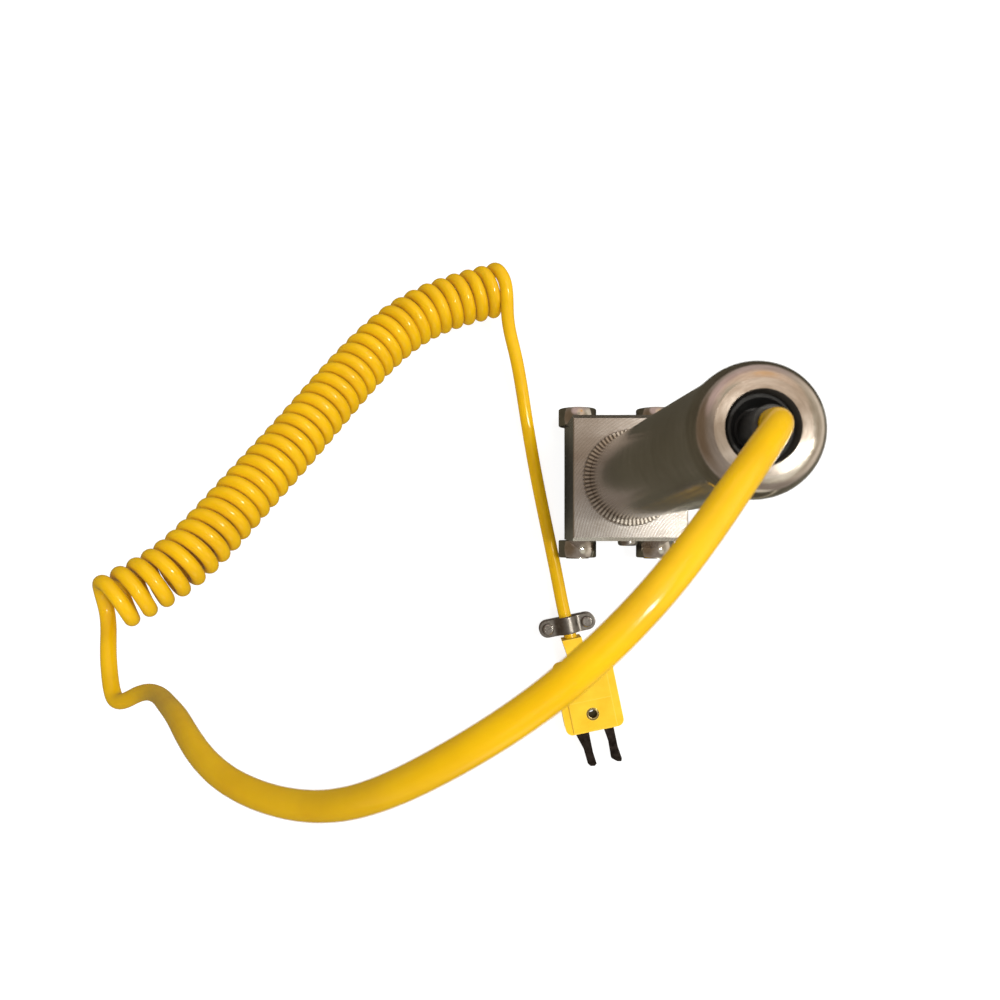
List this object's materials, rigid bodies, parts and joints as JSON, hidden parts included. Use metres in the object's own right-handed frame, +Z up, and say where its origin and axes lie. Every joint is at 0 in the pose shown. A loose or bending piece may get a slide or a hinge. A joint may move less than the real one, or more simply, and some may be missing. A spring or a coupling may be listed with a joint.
{
  "type": "roller surface thermocouple probe",
  "caption": "Roller surface thermocouple probe: milled carriage on bearing wheels, turned handle, coiled cord and miniature flat-pin plug.",
  "frame": {"origin": "on the ground under the axis of the handle", "axes": "+Z up along the handle, +X along the rolling direction, Y along the wheel axles"},
  "size_m": [0.1532, 0.1472, 0.1631],
  "materials": {
    "milled_aluminium": "milled, bright chamfers",
    "turned_aluminium": "turned and polished",
    "knurled_aluminium": "knurled",
    "bearing_steel": "ground and polished",
    "cage_steel": "pressed",
    "shield_steel": "pressed",
    "dark_steel": "dark passivated",
    "plated_steel": "zinc plated",
    "screw_steel": "plain",
    "black_rubber": "moulded",
    "grey_rubber": "moulded",
    "yellow_cord": "glossy polyurethane",
    "yellow_plug": "moulded thermoplastic",
    "brass": "dull",
    "dark_alloy": "oxidised thermocouple alloy",
    "thermo_alloy": "thin rolled strip",
    "ceramic": "fired insulator",
    "yellow_core": "insulated wire",
    "red_core": "insulated wire"
  },
  "bodies": {
    "probe": {"carriage_block": "milled_aluminium", "cord_clamp_bar": "dark_steel", "cord_clamp_bracket": "plated_steel", "cord_clamp_nuts": "screw_steel", "cord_clamp_screws": "screw_steel", "cord_coil": "yellow_cord", "cord_collar": "grey_rubber", "cord_handle_lead": "yellow_cord", "cord_plug_lead": "yellow_cord", "front_left_wheel_inner_race": "bearing_steel", "front_right_wheel_inner_race": "bearing_steel", "handle": "turned_aluminium", "handle_grommet": "black_rubber", "handle_lock_screw": "screw_steel", "handle_negative_core": "red_core", "handle_positive_core": "yellow_core", "knurled_lock_ring": "knurled_aluminium", "plug_base": "yellow_plug", "plug_brass_eyelet": "brass", "plug_cover": "yellow_plug", "plug_negative_blade": "dark_alloy", "plug_negative_core": "red_core", "plug_positive_blade": "dark_alloy", "plug_positive_core": "yellow_core", "plug_terminal_screws": "screw_steel", "rear_left_wheel_inner_race": "bearing_steel", "rear_right_wheel_inner_race": "bearing_steel", "retainer_plate_screws": "screw_steel", "sensor_retainer_plate": "screw_steel", "sensor_springs": "screw_steel", "wheel_shoulder_screws": "screw_steel", "wheel_spacers": "screw_steel"},
    "front_left_wheel": {"front_left_wheel_outer_race": "bearing_steel", "front_left_wheel_shields": "shield_steel"},
    "front_left_cage": {"front_left_wheel_balls": "bearing_steel", "front_left_wheel_cage": "cage_steel"},
    "front_right_wheel": {"front_right_wheel_outer_race": "bearing_steel", "front_right_wheel_shields": "shield_steel"},
    "front_right_cage": {"front_right_wheel_balls": "bearing_steel", "front_right_wheel_cage": "cage_steel"},
    "rear_left_wheel": {"rear_left_wheel_outer_race": "bearing_steel", "rear_left_wheel_shields": "shield_steel"},
    "rear_left_cage": {"rear_left_wheel_balls": "bearing_steel", "rear_left_wheel_cage": "cage_steel"},
    "rear_right_wheel": {"rear_right_wheel_outer_race": "bearing_steel", "rear_right_wheel_shields": "shield_steel"},
    "rear_right_cage": {"rear_right_wheel_balls": "bearing_steel", "rear_right_wheel_cage": "cage_steel"},
    "sensor": {"sensor_holder": "ceramic", "ribbon_positive_strip": "thermo_alloy", "ribbon_negative_strip": "thermo_alloy", "hot_junction_bead": "thermo_alloy", "ribbon_clamp_bars": "screw_steel", "ribbon_clamp_screws": "screw_steel", "sensor_terminal_pins": "screw_steel"}
  },
  "joints": [
    {"name": "front_left_wheel_spin", "type": "hinge", "parent": "probe", "child": "front_left_wheel", "pos_m": [0.0114, 0.0192, 0.0055], "axis": [0, 1, 0], "continuous": true},
    {"name": "front_left_cage_spin", "type": "hinge", "parent": "probe", "child": "front_left_cage", "pos_m": [0.0114, 0.0192, 0.0055], "axis": [0, 1, 0], "continuous": true},
    {"name": "front_right_wheel_spin", "type": "hinge", "parent": "probe", "child": "front_right_wheel", "pos_m": [0.0114, -0.0192, 0.0055], "axis": [0, 1, 0], "continuous": true},
    {"name": "front_right_cage_spin", "type": "hinge", "parent": "probe", "child": "front_right_cage", "pos_m": [0.0114, -0.0192, 0.0055], "axis": [0, 1, 0], "continuous": true},
    {"name": "rear_left_wheel_spin", "type": "hinge", "parent": "probe", "child": "rear_left_wheel", "pos_m": [-0.0114, 0.0192, 0.0055], "axis": [0, 1, 0], "continuous": true},
    {"name": "rear_left_cage_spin", "type": "hinge", "parent": "probe", "child": "rear_left_cage", "pos_m": [-0.0114, 0.0192, 0.0055], "axis": [0, 1, 0], "continuous": true},
    {"name": "rear_right_wheel_spin", "type": "hinge", "parent": "probe", "child": "rear_right_wheel", "pos_m": [-0.0114, -0.0192, 0.0055], "axis": [0, 1, 0], "continuous": true},
    {"name": "rear_right_cage_spin", "type": "hinge", "parent": "probe", "child": "rear_right_cage", "pos_m": [-0.0114, -0.0192, 0.0055], "axis": [0, 1, 0], "continuous": true},
    {"name": "sensor_slide", "type": "slide", "parent": "probe", "child": "sensor", "axis": [0, 0, 1], "range_m": [-0.0015, 0.001], "stiffness_N_per_m": 60, "springref_m": -0.0015, "deforming": ["sensor_springs"]}
  ],
  "couplings": [
    {"joint": "front_left_cage_spin", "follows": "front_left_wheel_spin", "ratio": 0.6},
    {"joint": "front_right_cage_spin", "follows": "front_right_wheel_spin", "ratio": 0.6},
    {"joint": "rear_left_cage_spin", "follows": "rear_left_wheel_spin", "ratio": 0.6},
    {"joint": "rear_right_cage_spin", "follows": "rear_right_wheel_spin", "ratio": 0.6}
  ]
}
